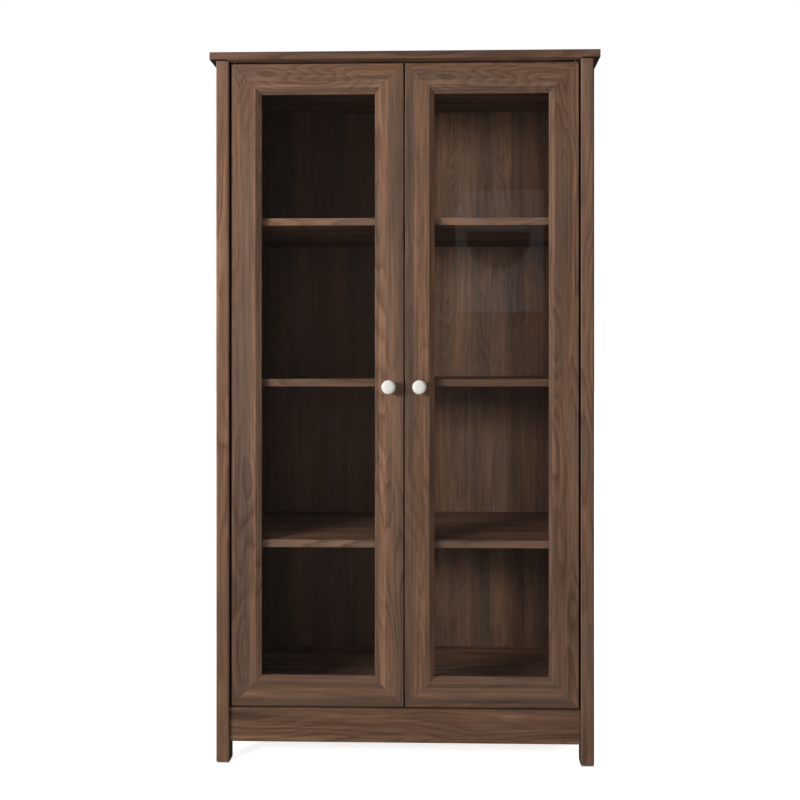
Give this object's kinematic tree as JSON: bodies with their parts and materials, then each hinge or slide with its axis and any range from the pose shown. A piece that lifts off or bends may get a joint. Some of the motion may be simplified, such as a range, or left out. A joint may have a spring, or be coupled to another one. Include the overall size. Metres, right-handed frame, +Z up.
{
  "type": "china cabinet",
  "caption": "Tall china cabinet: mitred glass doors on concealed pivots, corner posts that run down as legs, adjustable shelves on pins, plain apron and round knobs.",
  "frame": {"origin": "middle of the footprint, on the floor: halfway between the top board's ends, and halfway between the knobs' crowns and the rear plane", "axes": "+Z up, +X to the right seen from the front, +Y to the back; the doors face -Y"},
  "size_m": [0.926, 0.42, 1.692],
  "materials": {
    "walnut_posts": "satin brown walnut, grain along the post",
    "walnut_top": "satin brown walnut, grain along the width",
    "walnut_sides": "satin brown walnut, upright grain",
    "walnut_shelves": "satin brown walnut, grain along the width",
    "walnut_back_board": "satin printed walnut in upright bands",
    "walnut_rails": "satin brown walnut",
    "walnut_door_frame": "satin brown walnut, mitred, grain along each member",
    "walnut_beads": "satin brown walnut",
    "beech": "bare fluted beech",
    "clear_glass": "clear float glass",
    "white_glazed_knob": "glossy white glaze",
    "zinc_plated_steel": "bright zinc plating",
    "black_nylon": "moulded nylon",
    "brown_plastic": "moulded brown plastic",
    "ferrite_magnet": "sintered ferrite",
    "soft_bumper": "clear soft dot"
  },
  "bodies": {
    "carcass": {"top_panel": "walnut_top", "front_post_left": "walnut_posts", "front_post_right": "walnut_posts", "rear_post_left": "walnut_posts", "rear_post_right": "walnut_posts", "side_panel_left": "walnut_sides", "side_panel_right": "walnut_sides", "floor_cleat_left": "walnut_rails", "floor_cleat_right": "walnut_rails", "floor_cleat_front": "walnut_rails", "front_apron": "walnut_posts", "rear_bottom_rail": "walnut_rails", "rear_top_rail": "walnut_rails", "floor_panel": "walnut_shelves", "back_panel": "walnut_back_board", "shelf_upper": "walnut_shelves", "shelf_middle": "walnut_shelves", "shelf_lower": "walnut_shelves", "shelf_pins": "zinc_plated_steel", "carcass_dowels": "beech", "cam_bolts": "zinc_plated_steel", "cam_locks": "zinc_plated_steel", "cleat_screws": "zinc_plated_steel", "back_panel_screws": "zinc_plated_steel", "leg_glides": "black_nylon", "top_pivot_plate_left": "zinc_plated_steel", "top_pivot_plate_right": "zinc_plated_steel", "bottom_pivot_plate_left": "zinc_plated_steel", "bottom_pivot_plate_right": "zinc_plated_steel", "pivot_pins": "zinc_plated_steel", "pivot_washers": "black_nylon", "pivot_plate_screws": "zinc_plated_steel", "catch_housing": "brown_plastic", "catch_magnets": "ferrite_magnet", "catch_screws": "zinc_plated_steel"},
    "left_door": {"left_door_hinge_stile": "walnut_door_frame", "left_door_meeting_stile": "walnut_door_frame", "left_door_top_rail": "walnut_door_frame", "left_door_bottom_rail": "walnut_door_frame", "left_door_glass": "clear_glass", "left_door_glazing_beads": "walnut_beads", "left_door_knob": "white_glazed_knob", "left_door_knob_screw": "zinc_plated_steel", "left_door_strike_plate": "zinc_plated_steel", "left_door_pivot_plates": "zinc_plated_steel", "left_door_screws": "zinc_plated_steel", "left_door_bumper": "soft_bumper"},
    "right_door": {"right_door_hinge_stile": "walnut_door_frame", "right_door_meeting_stile": "walnut_door_frame", "right_door_top_rail": "walnut_door_frame", "right_door_bottom_rail": "walnut_door_frame", "right_door_glass": "clear_glass", "right_door_glazing_beads": "walnut_beads", "right_door_knob": "white_glazed_knob", "right_door_knob_screw": "zinc_plated_steel", "right_door_strike_plate": "zinc_plated_steel", "right_door_pivot_plates": "zinc_plated_steel", "right_door_screws": "zinc_plated_steel", "right_door_bumper": "soft_bumper"}
  },
  "joints": [
    {"name": "left_door_pivot", "type": "hinge", "parent": "carcass", "child": "left_door", "pos_m": [-0.408, -0.176, 0.9], "axis": [0, 0, -1], "range_deg": [0, 105]},
    {"name": "right_door_pivot", "type": "hinge", "parent": "carcass", "child": "right_door", "pos_m": [0.408, -0.176, 0.9], "axis": [0, 0, 1], "range_deg": [0, 105]}
  ]
}
